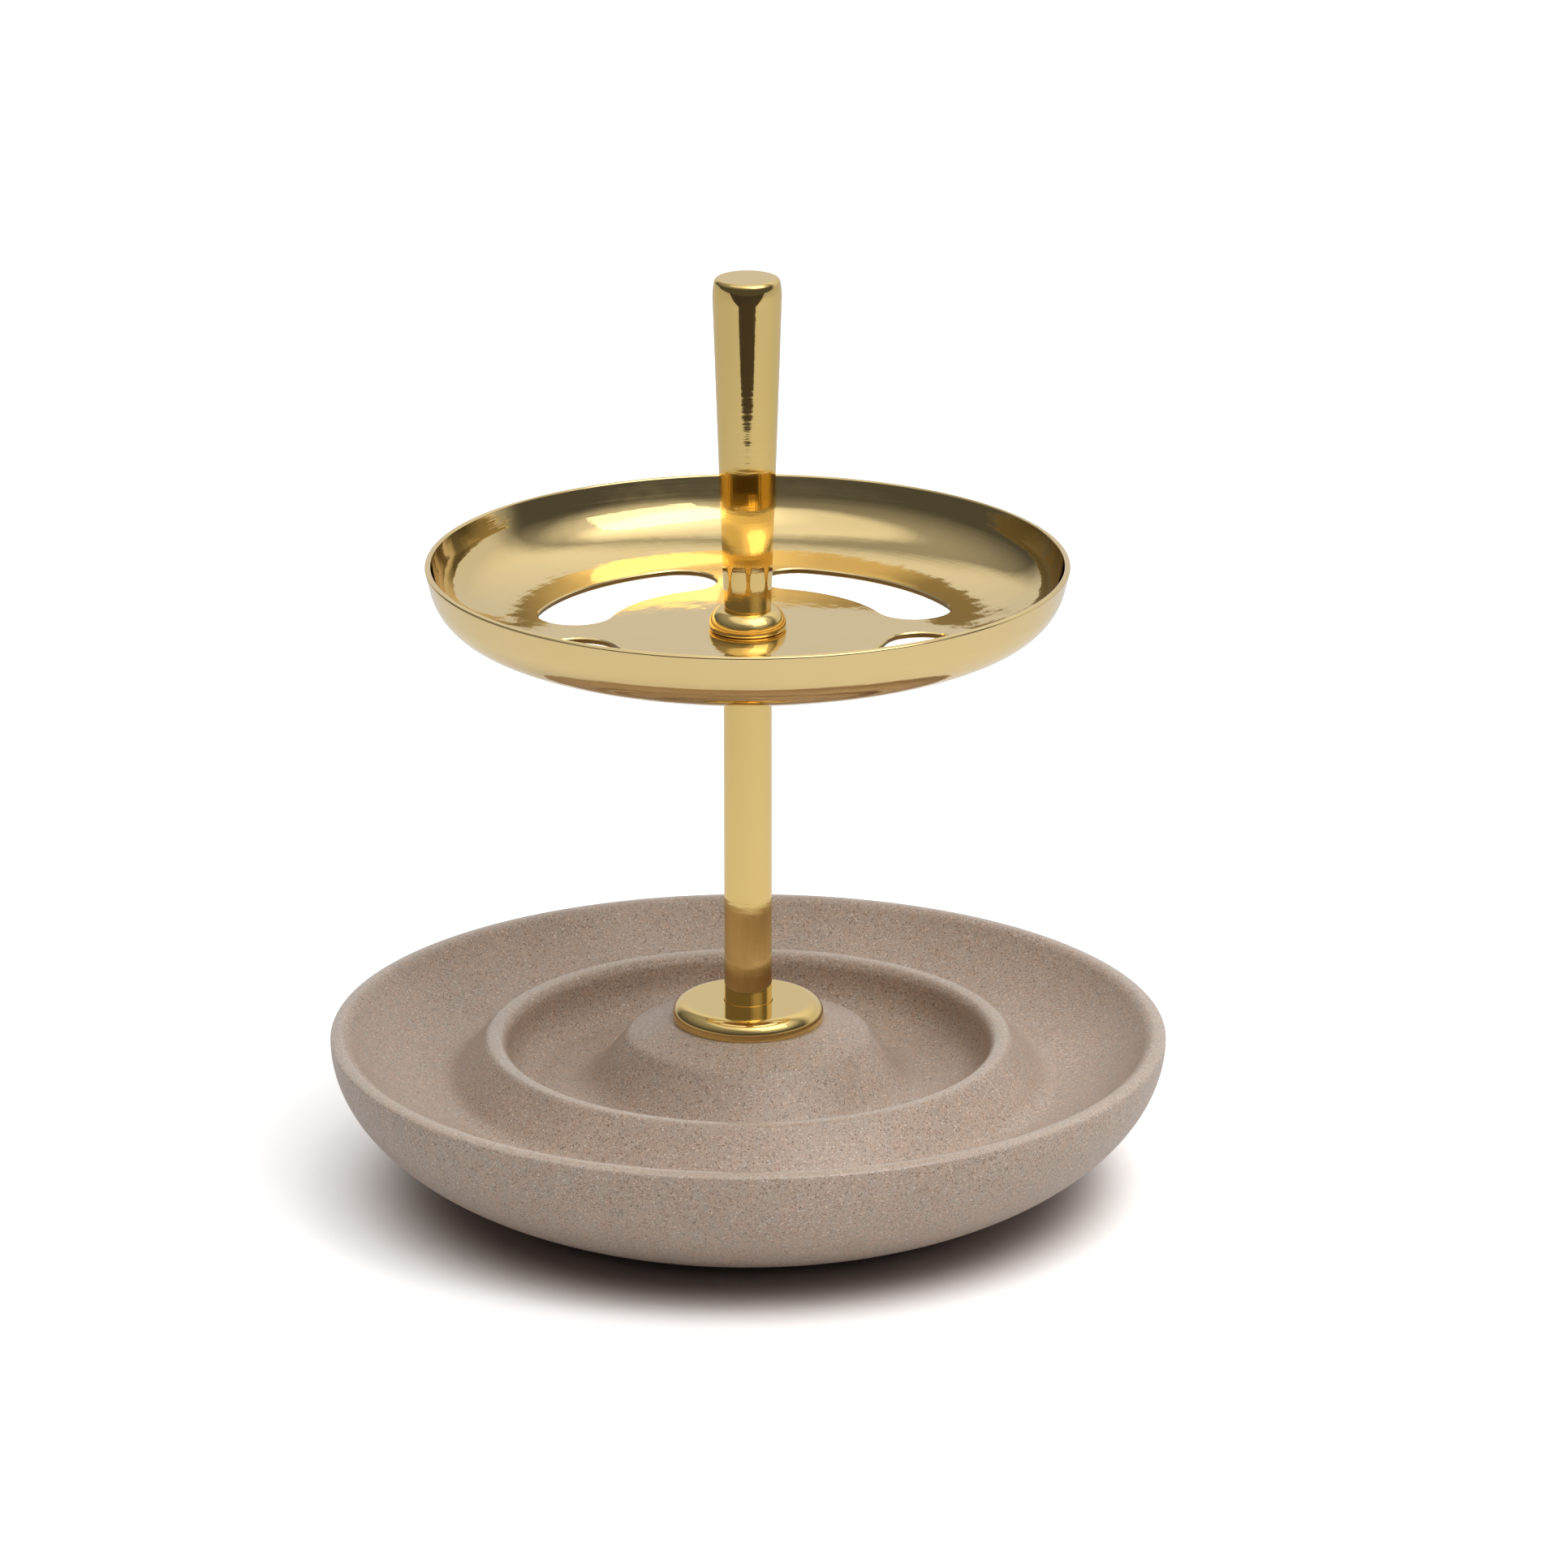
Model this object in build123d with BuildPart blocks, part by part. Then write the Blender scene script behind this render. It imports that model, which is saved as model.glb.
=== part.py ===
"""Desk pen stand: a turned stone base, a brass post and a slotted brass dish under a screw-on handle."""
import os
from math import atan2, cos, degrees, radians, sin, sqrt, tan

from build123d import *

# Felt pad, glued under the stone
pad_t = 1.5
pad_inset = 4.0

# Stone base, outside
base_d = 140.0
foot_d = 88.0
foot_slope = 18.5
foot_round = 2.0
ring_h = 26.1
rim_rise = 1.2
rim_round = 1.7

# Stone base, from the mound under the post out to the trough; depths are taken from the crest of the ring
mound_rise = 2.9
seat_margin = 0.6
mound_top_w = 6.2
mound_top_slope = 19.0
shoulder_round = 2.5
mound_flank = 52.0
mound_round = 7.0
bowl_depth = 8.7
bowl_flat_w = 4.2
bowl_round = 5.5
lip_w = 3.1
ring_flank = 50.0
flank_round = 4.0
trough_depth = 7.5
trough_flat_w = 1.8
bore_d = 7.0

# Foot flange of the post
flange_d = 25.3
flange_t = 3.3
flange_round = 2.3
stem_seat_depth = 1.0

# Post
stem_d = 8.0
stem_length = 63.9
stem_edge = 0.25

# Fixing in a recess under the stone: socket screw, steel washer and soft washer
screw_d = 5.0
screw_head_d = 8.5
screw_head_h = 5.0
screw_head_edge = 0.4
screw_key = 4.0
screw_key_depth = 2.6
screw_grip = 10.0
washer_d = 20.0
washer_t = 1.25
soft_washer_t = 1.5
recess_gap = 1.0
head_room = 1.5

# Dish of spun sheet with curved slots
dish_d = 106.4
dish_h = 12.35
dish_sheet = 1.0
dish_edge = 0.35
floor_round = 29.0
floor_turn = 25.0
wall_round = 9.2
wall_angle = 76.5
slot_count = 4
slot_circle_d = 59.7
slot_w = 12.3
bridge_w = 7.7
bridge_angle = 3.3

# Washer that carries the dish on the end of the post
dish_washer_d = 12.8
dish_washer_t = 1.0

# Stud, collar and handle above the dish
stud_d = 5.0
stud_edge = 0.5
stud_in_stem = 12.0
stud_in_handle = 9.0
collar_d = 12.8
collar_h = 3.6
collar_foot_d = 12.0
collar_foot_h = 0.6
collar_top_d = 8.6
handle_length = 56.1
handle_foot_d = 7.8
handle_top_d = 11.6
handle_round = 1.0

# Clearances, on the radius
thread_gap = 0.05
turning_gap = 0.05
seat_gap = 0.05
screw_gap = 0.25
tap_spare = 2.5

# Heights above the table
bowl_z = ring_h - bowl_depth
trough_z = ring_h - trough_depth
mound_z = ring_h + mound_rise
rim_z = ring_h + rim_rise
recess_depth = head_room + screw_head_h + washer_t + soft_washer_t
soft_washer_z = pad_t + recess_depth - soft_washer_t
washer_z = soft_washer_z - washer_t
stem_z = mound_z + flange_t - stem_seat_depth
dish_washer_z = stem_z + stem_length
dish_z = dish_washer_z + dish_washer_t
collar_z = dish_z + dish_sheet
handle_z = collar_z + collar_h


def ramp_foot(crest, crest_round, foot_fillet, ground_z, angle):
    """Radius of the centre of the fillet at the foot of a ramp that falls from a rounded crest."""
    out, up = sin(radians(angle)), cos(radians(angle))
    reach = crest[0] * out + crest[1] * up + crest_round + foot_fillet
    return (reach - (ground_z + foot_fillet) * up) / out


def off_ramp(centre, distance, angle):
    """Point at a distance from a centre, measured square to a ramp of this angle."""
    return (centre[0] + distance * sin(radians(angle)), centre[1] + distance * cos(radians(angle)))


# Mound that carries the post
seat_r = flange_d / 2 + seat_margin
shoulder_edge = (seat_r + mound_top_w, mound_z - mound_top_w * tan(radians(mound_top_slope)))
shoulder = off_ramp(shoulder_edge, -shoulder_round, mound_top_slope)
mound_foot_r = ramp_foot(shoulder, shoulder_round, mound_round, bowl_z, mound_flank)
mound_foot = (mound_foot_r, bowl_z + mound_round)

# Ring between the bowl and the trough
lip_round = lip_w / 2
bowl_wall_r = mound_foot_r + bowl_flat_w + bowl_round
lip = (bowl_wall_r + lip_round, ring_h - lip_round)
flank_foot_r = ramp_foot(lip, lip_round, flank_round, trough_z, ring_flank)
flank_foot = (flank_foot_r, trough_z + flank_round)

# Trough, one hollow arc that runs up into the round of the rim
trough_r = flank_foot_r + trough_flat_w
rim = (base_d / 2 - rim_round, rim_z - rim_round)
trough_run = rim[0] - trough_r
trough_fall = rim[1] - trough_z
trough_round = (trough_run**2 + trough_fall**2 - rim_round**2) / (2 * (rim_round + trough_fall))
trough = (trough_r, trough_z + trough_round)
rim_turn = degrees(atan2(trough[1] - rim[1], trough[0] - rim[0]))

# Outer wall, an ellipse that leaves the foot at its slope and stands upright at the rim
wall_run = base_d / 2 - foot_d / 2
wall_rise = rim[1] - pad_t
wall_share = tan(radians(foot_slope)) * wall_run / wall_rise
foot_cos = wall_share / (1 - wall_share)
foot_sin = sqrt(1 - foot_cos**2)
wall_radius_r = wall_run / (1 - foot_cos)
wall_radius_z = wall_rise / foot_sin
foot_turn = degrees(atan2(foot_sin, foot_cos))

with BuildPart() as stone_base:
    with BuildSketch(Plane.XZ):
        with BuildLine():
            Line((0, pad_t), (foot_d / 2, pad_t))
            EllipticalCenterArc(
                (base_d / 2 - wall_radius_r, rim[1]),
                wall_radius_r,
                wall_radius_z,
                start_angle=-foot_turn,
                arc_size=foot_turn,
            )
            CenterArc(rim, rim_round, 0, rim_turn)
            CenterArc(trough, trough_round, 270, rim_turn - 90)
            Line((trough_r, trough_z), (flank_foot_r, trough_z))
            CenterArc(flank_foot, flank_round, 270 - ring_flank, ring_flank)
            Line(off_ramp(flank_foot, -flank_round, ring_flank), off_ramp(lip, lip_round, ring_flank))
            CenterArc(lip, lip_round, 90 - ring_flank, 90 + ring_flank)
            Line((bowl_wall_r, lip[1]), (bowl_wall_r, bowl_z + bowl_round))
            CenterArc((bowl_wall_r - bowl_round, bowl_z + bowl_round), bowl_round, 270, 90)
            Line((bowl_wall_r - bowl_round, bowl_z), (mound_foot_r, bowl_z))
            CenterArc(mound_foot, mound_round, 270 - mound_flank, mound_flank)
            Line(
                off_ramp(mound_foot, -mound_round, mound_flank),
                off_ramp(shoulder, shoulder_round, mound_flank),
            )
            CenterArc(shoulder, shoulder_round, 90 - mound_flank, mound_flank - mound_top_slope)
            Line(shoulder_edge, (seat_r, mound_z))
            Line((seat_r, mound_z), (0, mound_z))
            Line((0, mound_z), (0, pad_t))
        make_face()
    revolve(axis=Axis.Z)
    foot_edge = stone_base.edges().group_by(Axis.Z)[0]
    fillet(foot_edge, foot_round)
    with Locations(Location((0, 0, pad_t), (180, 0, 0))):
        CounterBoreHole(bore_d / 2, washer_d / 2 + recess_gap, recess_depth)
stone_base.part.label = "stone_base"

with BuildPart() as base_pad:
    Cylinder(foot_d / 2 - pad_inset, pad_t, align=(Align.CENTER, Align.CENTER, Align.MIN))
base_pad.part.label = "base_pad"


def ring_washer(outer_d, thickness, bottom_z):
    """Flat ring that the fixing screw passes through."""
    with BuildPart(Plane.XY.offset(bottom_z)) as ring:
        Cylinder(outer_d / 2, thickness, align=(Align.CENTER, Align.CENTER, Align.MIN))
        Hole(screw_d / 2 + screw_gap)
    return ring


soft_washer = ring_washer(washer_d, soft_washer_t, soft_washer_z)
soft_washer.part.label = "soft_washer"

steel_washer = ring_washer(washer_d, washer_t, washer_z)
steel_washer.part.label = "steel_washer"

screw_length = stem_z + screw_grip - washer_z
with BuildPart(Plane.XY.offset(washer_z)) as base_screw:
    Cylinder(screw_head_d / 2, screw_head_h, align=(Align.CENTER, Align.CENTER, Align.MAX))
    chamfer(base_screw.edges().group_by(Axis.Z)[0], screw_head_edge)
    Cylinder(screw_d / 2, screw_length, align=(Align.CENTER, Align.CENTER, Align.MIN))
    with BuildSketch(Plane.XY.offset(washer_z - screw_head_h)):
        RegularPolygon(screw_key / 2, 6, major_radius=False)
    extrude(amount=screw_key_depth, mode=Mode.SUBTRACT)
base_screw.part.label = "base_screw"

with BuildPart(Plane.XY.offset(mound_z)) as foot_flange:
    Cylinder(flange_d / 2, flange_t, align=(Align.CENTER, Align.CENTER, Align.MIN))
    fillet(foot_flange.edges().group_by(Axis.Z)[-1], flange_round)
    with Locations((0, 0, flange_t)):
        CounterBoreHole(screw_d / 2 + screw_gap, stem_d / 2 + seat_gap, stem_seat_depth)
foot_flange.part.label = "foot_flange"

with BuildPart(Plane.XY.offset(stem_z)) as stem:
    Cylinder(stem_d / 2, stem_length, align=(Align.CENTER, Align.CENTER, Align.MIN))
    chamfer(stem.edges().group_by(Axis.Z)[0], stem_edge)
    with Locations((0, 0, stem_length)):
        Hole(stud_d / 2 + thread_gap, stud_in_stem)
    with Locations(Location((0, 0, 0), (180, 0, 0))):
        Hole(screw_d / 2 + thread_gap, screw_grip + tap_spare)
stem.part.label = "stem"

with BuildPart(Plane.XY.offset(dish_washer_z)) as dish_washer:
    Cylinder(dish_washer_d / 2, dish_washer_t, align=(Align.CENTER, Align.CENTER, Align.MIN))
    Hole(stud_d / 2 + turning_gap)
dish_washer.part.label = "dish_washer"

floor_arc_r = floor_round * sin(radians(floor_turn))
floor_arc_h = floor_round * (1 - cos(radians(floor_turn)))
wall_arc_r = wall_round * (sin(radians(wall_angle)) - sin(radians(floor_turn)))
wall_arc_h = wall_round * (cos(radians(floor_turn)) - cos(radians(wall_angle)))
flare_h = dish_h - floor_arc_h - wall_arc_h
flare_r = flare_h / tan(radians(wall_angle))
dish_flat_r = dish_d / 2 - flare_r - wall_arc_r - floor_arc_r
slot_circle_r = slot_circle_d / 2
slot_arc = 360 / slot_count - degrees((bridge_w + slot_w) / slot_circle_r)

with BuildPart() as dish:
    with BuildSketch(Plane.XZ):
        with BuildLine():
            floor_line = Line((stud_d / 2 + turning_gap, dish_z), (dish_flat_r, dish_z))
            floor_arc = JernArc(floor_line @ 1, floor_line % 1, floor_round, floor_turn)
            wall_arc = JernArc(floor_arc @ 1, floor_arc % 1, wall_round, wall_angle - floor_turn)
            Line(wall_arc @ 1, (dish_d / 2, dish_z + dish_h))
            offset(amount=dish_sheet, side=Side.LEFT)
        make_face()
    revolve(axis=Axis.Z)
    fillet(dish.edges().group_by(Axis.Z)[-1], dish_edge)
    with BuildSketch(Plane.XY.offset(dish_z)):
        with PolarLocations(0, slot_count, start_angle=bridge_angle + 180 / slot_count):
            SlotArc(CenterArc((0, 0), slot_circle_r, -slot_arc / 2, slot_arc), slot_w)
    extrude(amount=dish_h, both=True, mode=Mode.SUBTRACT)
dish.part.label = "dish"

with BuildPart() as collar:
    with BuildSketch(Plane.XZ):
        with BuildLine():
            bore_r = stud_d / 2 + turning_gap
            widest = (collar_d / 2, collar_z + collar_foot_h)
            foot = (collar_foot_d / 2, collar_z)
            crown = (collar_top_d / 2, handle_z)
            Line((bore_r, collar_z), foot)
            TangentArc(widest, foot, tangent=(0, -1))
            EllipticalCenterArc((crown[0], widest[1]), widest[0] - crown[0], crown[1] - widest[1])
            Line(crown, (bore_r, handle_z))
            Line((bore_r, handle_z), (bore_r, collar_z))
        make_face()
    revolve(axis=Axis.Z)
collar.part.label = "collar"

stud_z = dish_washer_z - stud_in_stem
stud_length = handle_z + stud_in_handle - stud_z
with BuildPart(Plane.XY.offset(stud_z)) as top_stud:
    Cylinder(stud_d / 2, stud_length, align=(Align.CENTER, Align.CENTER, Align.MIN))
    chamfer(top_stud.edges().filter_by(GeomType.CIRCLE), stud_edge)
top_stud.part.label = "top_stud"

with BuildPart(Plane.XY.offset(handle_z)) as handle:
    Cone(
        handle_foot_d / 2,
        handle_top_d / 2,
        handle_length,
        align=(Align.CENTER, Align.CENTER, Align.MIN),
    )
    fillet(handle.edges().group_by(Axis.Z)[-1], handle_round)
    with Locations(Location((0, 0, 0), (180, 0, 0))):
        Hole(stud_d / 2 + thread_gap, stud_in_handle + tap_spare)
handle.part.label = "handle"

os.makedirs("parts", exist_ok=True)
pieces = (
    stone_base,
    base_pad,
    soft_washer,
    steel_washer,
    base_screw,
    foot_flange,
    stem,
    dish_washer,
    dish,
    collar,
    top_stud,
    handle,
)
for piece in pieces:
    export_step(piece.part, f"parts/{piece.part.label}.step")
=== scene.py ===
"""Looks of a desk pen stand: a stone base, a brass post, a slotted brass dish and a screw-on handle."""
from math import asin, atan2, ceil, cos, degrees, pi, radians, sin, sqrt, tan

import bmesh
import bpy
from mathutils import Matrix, Vector


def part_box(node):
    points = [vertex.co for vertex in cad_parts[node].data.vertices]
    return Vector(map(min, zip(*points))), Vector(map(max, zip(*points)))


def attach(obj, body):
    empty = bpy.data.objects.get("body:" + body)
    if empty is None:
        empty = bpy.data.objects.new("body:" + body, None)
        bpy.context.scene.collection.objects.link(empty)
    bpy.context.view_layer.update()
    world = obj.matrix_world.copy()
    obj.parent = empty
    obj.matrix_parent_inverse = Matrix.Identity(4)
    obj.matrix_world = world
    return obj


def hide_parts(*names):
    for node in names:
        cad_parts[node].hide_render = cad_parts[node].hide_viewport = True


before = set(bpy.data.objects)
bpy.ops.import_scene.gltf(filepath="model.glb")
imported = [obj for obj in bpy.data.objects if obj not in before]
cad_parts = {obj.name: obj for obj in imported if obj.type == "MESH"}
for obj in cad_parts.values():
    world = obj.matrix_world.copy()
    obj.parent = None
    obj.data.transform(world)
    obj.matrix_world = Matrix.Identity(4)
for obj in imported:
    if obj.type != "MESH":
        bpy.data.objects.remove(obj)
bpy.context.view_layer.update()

# Felt pad: a disc punched from charcoal wool felt and glued under the stone, so that it can't scratch a
# desk. Punching leaves a soft edge, and the pressed fibres lie every way.
mm = 0.001
pad_low, pad_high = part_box("base_pad")
pad_edge = 0.5 * mm
fibre = 0.25 * mm
fuzz_depth = 0.15 * mm
felt_dark = "#242322"
felt_pale = "#3d3b39"


def rounded(corners):
    """Points of a closed outline from its corners (radius, height, round), with arcs at the rounds."""
    arc_step = radians(6)
    flat_margin = 0.12
    points = []
    for i, (r, z, size) in enumerate(corners):
        corner = Vector((r, z))
        if not size:
            points.append(corner)
            continue
        back = (Vector(corners[i - 1][:2]) - corner).normalized()
        ahead = (Vector(corners[(i + 1) % len(corners)][:2]) - corner).normalized()
        turn = pi - back.angle(ahead)
        reach = size * tan(turn / 2)
        middle = corner + (back + ahead).normalized() * size / cos(turn / 2)
        start = corner + back * reach - middle
        side = 1 if back.x * ahead.y < back.y * ahead.x else -1
        steps = max(3, ceil(turn / arc_step))
        points.append(corner + back * (reach + size * flat_margin))
        points += [middle + Matrix.Rotation(side * turn * k / steps, 2) @ start for k in range(steps + 1)]
        points.append(corner + ahead * (reach + size * flat_margin))
    return points


def finished(name, work):
    """Object from a bmesh, shaded smooth except along its sharp edges."""
    sharp = radians(32)
    bmesh.ops.recalc_face_normals(work, faces=work.faces)
    mesh = bpy.data.meshes.new(name)
    work.to_mesh(mesh)
    work.free()
    mesh.shade_smooth()
    mesh.set_sharp_from_angle(angle=sharp)
    piece = bpy.data.objects.new(name, mesh)
    bpy.context.scene.collection.objects.link(piece)
    return piece


def turned(name, corners, sides):
    """Object turned about Z from the corners of a closed outline, which may start and end on the axis."""
    work = bmesh.new()
    turns = [2 * pi * k / sides for k in range(sides)]
    rings = []
    for r, z in rounded(corners):
        if r == 0:
            rings.append([work.verts.new((0, 0, z))] * sides)
        else:
            rings.append([work.verts.new((r * cos(t), r * sin(t), z)) for t in turns])
    for ring, following in zip(rings, rings[1:] + rings[:1]):
        for k in range(sides):
            after = (k + 1) % sides
            face = list(dict.fromkeys((ring[k], ring[after], following[after], following[k])))
            if len(face) > 2:
                work.faces.new(face)
    return finished(name, work)


def linear(colour):
    """Linear colour of an sRGB hex value."""
    parts = [int(colour[i : i + 2], 16) / 255 for i in (1, 3, 5)]
    return [c / 12.92 if c <= 0.04045 else ((c + 0.055) / 1.055) ** 2.4 for c in parts] + [1]


def add(tree, kind, inputs, **settings):
    """Add a node of a kind, or take one that is there, with its settings, and set or link its inputs."""
    node = tree.nodes.new(kind) if isinstance(kind, str) else kind
    for name, value in settings.items():
        setattr(node, name, value)
    for name, value in inputs.items():
        if isinstance(value, bpy.types.NodeSocket):
            tree.links.new(value, node.inputs[name])
        else:
            node.inputs[name].default_value = value
    return node


def new_material(name):
    """Material with its node tree, its shader and the place of a point in the object's frame, in metres."""
    made = bpy.data.materials.new(name)
    made.use_nodes = True
    tree = made.node_tree
    place = add(tree, "ShaderNodeTexCoord", {}).outputs["Object"]
    return made, tree, tree.nodes["Principled BSDF"], place


def fit(piece, finish, body, slot, *nodes):
    """Give a piece its material, and let it stand for CAD nodes on a body."""
    piece.data.materials.append(finish)
    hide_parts(*nodes)
    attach(piece, body)


# Pressed wool felt: dull and dark, with a mottle of single fibres and a soft sheen at a low angle
felt, tree, shader, place = new_material("pressed_wool_felt")
fibres = add(tree, "ShaderNodeTexNoise", {"Vector": place, "Scale": 1 / fibre, "Detail": 4.0})
mottle = add(
    tree,
    "ShaderNodeMix",
    {"Factor": fibres.outputs["Fac"], "A": linear(felt_dark), "B": linear(felt_pale)},
    data_type="RGBA",
)
fuzz = add(tree, "ShaderNodeBump", {"Height": fibres.outputs["Fac"], "Distance": fuzz_depth})
add(
    tree,
    shader,
    {
        "Base Color": mottle.outputs["Result"],
        "Roughness": 0.95,
        "Sheen Weight": 0.4,
        "Normal": fuzz.outputs["Normal"],
    },
)

pad = turned(
    "felt_pad",
    [
        (0, pad_low.z, 0),
        (pad_high.x, pad_low.z, pad_edge),
        (pad_high.x, pad_high.z, pad_edge),
        (0, pad_high.z, 0),
    ],
    sides=128,
)
fit(pad, felt, "stand", "felt", "base_pad")

# Stone base: one block of fine sandstone, turned round and rubbed to a satin. From the middle outwards it
# has a mound that carries the post, a ring-shaped well, a raised ring, a hollow trough and a rim over a
# bowl-shaped wall. A recess underneath takes the screw's head and its washers.
stone_low, stone_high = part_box("stone_base")
washer_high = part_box("soft_washer")[1]
flange_low, flange_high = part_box("foot_flange")
base_r = stone_high.x
foot_r = 44 * mm
foot_slope = radians(18.5)
foot_round = 2 * mm
ring_z = 26.1 * mm
rim_rise = 1.2 * mm
rim_z = ring_z + rim_rise
rim_round = 2.6 * mm
rim_edge = 0.5 * mm
rim_lean = radians(30)
well_depth = 8.7 * mm
well_z = ring_z - well_depth
trough_depth = 7.5 * mm
trough_z = ring_z - trough_depth
seat_margin = 0.6 * mm
seat_r = flange_high.x + seat_margin
mound_top_w = 6.2 * mm
mound_top_slope = radians(19)
shoulder_round = 2.5 * mm
mound_slope = radians(52)
mound_round = 7 * mm
well_w = 4.2 * mm
well_round = 5.5 * mm
lip_w = 3.3 * mm
lip_round = 2 * mm
lip_edge = 1.6 * mm
ring_slope = radians(50)
flank_round = 4 * mm
trough_w = 0.6 * mm
trough_lean = radians(11)
bore_r = 3.5 * mm
recess_margin = 1 * mm
recess_r = washer_high.x + recess_margin
stone_edge = 0.4 * mm
grain = 0.2 * mm
patch = 1.8 * mm
cloud = 24 * mm
pit_gap = 9 * mm
pit_r = 0.14 * mm
pit_depth = 0.15 * mm
grit_depth = 0.045 * mm
rub_near = 0.7 * mm
rub_far = 1.5 * mm
pinker_tint = "#fff4ec"
greyer_tint = "#f5f7f8"
rubbed_sheen_sand = "#d6c8ba"


def arc(middle, across, up, start, end, steps):
    """Points on an ellipse about a middle, by its half axes, from one angle to another in degrees."""
    turns = [radians(start + (end - start) * k / steps) for k in range(steps + 1)]
    return [(middle[0] + across * cos(t), middle[1] + up * sin(t), 0) for t in turns]


def slope_end(start, slope, z):
    """Radius at which a slope that falls outwards from a start reaches a height."""
    return start[0] + (start[1] - z) / tan(slope)


def shoulder_corner(edge, edge_slope, slope, size):
    """Corner between two slopes, from the point where the upper one meets the round between them."""
    reach = size * tan((slope - edge_slope) / 2)
    return edge[0] + reach * cos(edge_slope), edge[1] - reach * sin(edge_slope)


# Corners of the mound, the well and the ring. The corner at the foot of the ring's flank lies below the
# trough's lowest point, which is on the round there. Past it the trough leans up and then follows an arc
# to the round of the rim.
mound_edge = (seat_r + mound_top_w, stone_high.z - mound_top_w * tan(mound_top_slope))
shoulder = shoulder_corner(mound_edge, mound_top_slope, mound_slope, shoulder_round)
mound_foot_r = slope_end(shoulder, mound_slope, well_z)
well_flat_r = mound_foot_r + mound_round * tan(mound_slope / 2)
well_wall_r = well_flat_r + well_w + well_round
lip_end = (well_wall_r + lip_w, ring_z)
foot_lift = cos((ring_slope - trough_lean) / 2) / cos((ring_slope + trough_lean) / 2) - 1
flank_foot_z = trough_z - flank_round * foot_lift
flank_foot_r = slope_end(lip_end, ring_slope, flank_foot_z)
trough_reach = flank_round * tan((ring_slope + trough_lean) / 2) + trough_w
trough_r = flank_foot_r + trough_reach * cos(trough_lean)
trough_start_z = flank_foot_z + trough_reach * sin(trough_lean)
rim_inset = (rim_round - rim_edge) * sin(rim_lean)
rim_lift = (rim_round - rim_edge) * cos(rim_lean)
rim = (base_r - rim_edge - rim_inset, rim_z - rim_round)
brow = (base_r - rim_edge, rim[1] + rim_lift)
trough_run = rim[0] - trough_r
trough_fall = rim[1] - trough_start_z
trough_off = trough_fall * cos(trough_lean) - trough_run * sin(trough_lean)
trough_round = (trough_run**2 + trough_fall**2 - rim_round**2) / (2 * (rim_round + trough_off))
trough = (trough_r - trough_round * sin(trough_lean), trough_start_z + trough_round * cos(trough_lean))
rim_turn = degrees(atan2(trough[1] - rim[1], trough[0] - rim[0]))

# The outer wall is an ellipse that leaves the foot at its slope and stands upright at the rim. Its last
# points give way to the round of the foot.
wall_share = tan(foot_slope) * (base_r - foot_r) / (brow[1] - stone_low.z)
foot_cos = wall_share / (1 - wall_share)
foot_sin = sqrt(1 - foot_cos**2)
wall_across = (base_r - foot_r) / (1 - foot_cos)
wall_up = (brow[1] - stone_low.z) / foot_sin
foot_turn = degrees(atan2(foot_sin, foot_cos))
wall = arc((base_r - wall_across, brow[1]), wall_across, wall_up, 0, -foot_turn, steps=44)
foot_ease = 4

base = turned(
    "stone_base_turned",
    [
        (bore_r, stone_high.z, stone_edge),
        (seat_r, stone_high.z, stone_edge),
        (*shoulder, shoulder_round),
        (mound_foot_r, well_z, mound_round),
        (well_wall_r, well_z, well_round),
        (well_wall_r, ring_z, lip_round),
        (*lip_end, lip_edge),
        (flank_foot_r, flank_foot_z, flank_round),
        *arc(trough, trough_round, trough_round, 270 + degrees(trough_lean), 180 + rim_turn, steps=20),
        *arc(rim, rim_round, rim_round, rim_turn, 90 - degrees(rim_lean), steps=14)[1:],
        *arc(brow, rim_edge, rim_edge, 90 - degrees(rim_lean), 0, steps=10)[1:],
        *wall[1:-foot_ease],
        (foot_r, stone_low.z, foot_round),
        (recess_r, stone_low.z, stone_edge),
        (recess_r, washer_high.z, stone_edge),
        (bore_r, washer_high.z, 0),
    ],
    sides=320,
)

# Fine sandstone, rubbed satin: sand grains of taupe with a few of umber, cream and rust among them, drawn
# a little coarser than real grit so that they show, soft patches of pinker and greyer sand, and a few open
# pits, drawn darker as painted shade. It has a low gloss where light grazes it, and the crests of the rim
# and the ring are rubbed smoother and painted paler: partly wear, partly a painted sheen.
sandstone, tree, shader, place = new_material("rubbed_sandstone")
grains = add(tree, "ShaderNodeTexVoronoi", {"Vector": place, "Scale": 1 / grain})
lot = add(tree, "ShaderNodeSeparateColor", {"Color": grains.outputs["Color"]})
sand = add(tree, "ShaderNodeValToRGB", {"Fac": lot.outputs["Red"]})
sand_shades = (
    (0.0, "#7c6858"),
    (0.06, "#a08d7d"),
    (0.18, "#b7a495"),
    (0.5, "#c1af9f"),
    (0.8, "#c9b7a8"),
    (0.9, "#c5aa9a"),
    (0.95, "#d4c5b8"),
    (1.0, "#ece2d8"),
)
for share, shade in sand_shades[1:-1]:
    sand.color_ramp.elements.new(share)
for stop, (share, shade) in zip(sand.color_ramp.elements, sand_shades):
    stop.position = share
    stop.color = linear(shade)
patches = add(tree, "ShaderNodeTexNoise", {"Vector": place, "Scale": 1 / patch, "Detail": 3.0})
patch_share = add(
    tree,
    "ShaderNodeMapRange",
    {"Value": patches.outputs["Fac"], "From Min": 0.35, "From Max": 0.65},
)
patch_hue = add(
    tree,
    "ShaderNodeMix",
    {"Factor": patch_share.outputs["Result"], "A": linear(pinker_tint), "B": linear(greyer_tint)},
    data_type="RGBA",
)
hued_sand = add(
    tree,
    "ShaderNodeVectorMath",
    {0: sand.outputs["Color"], 1: patch_hue.outputs["Result"]},
    operation="MULTIPLY",
)
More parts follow.
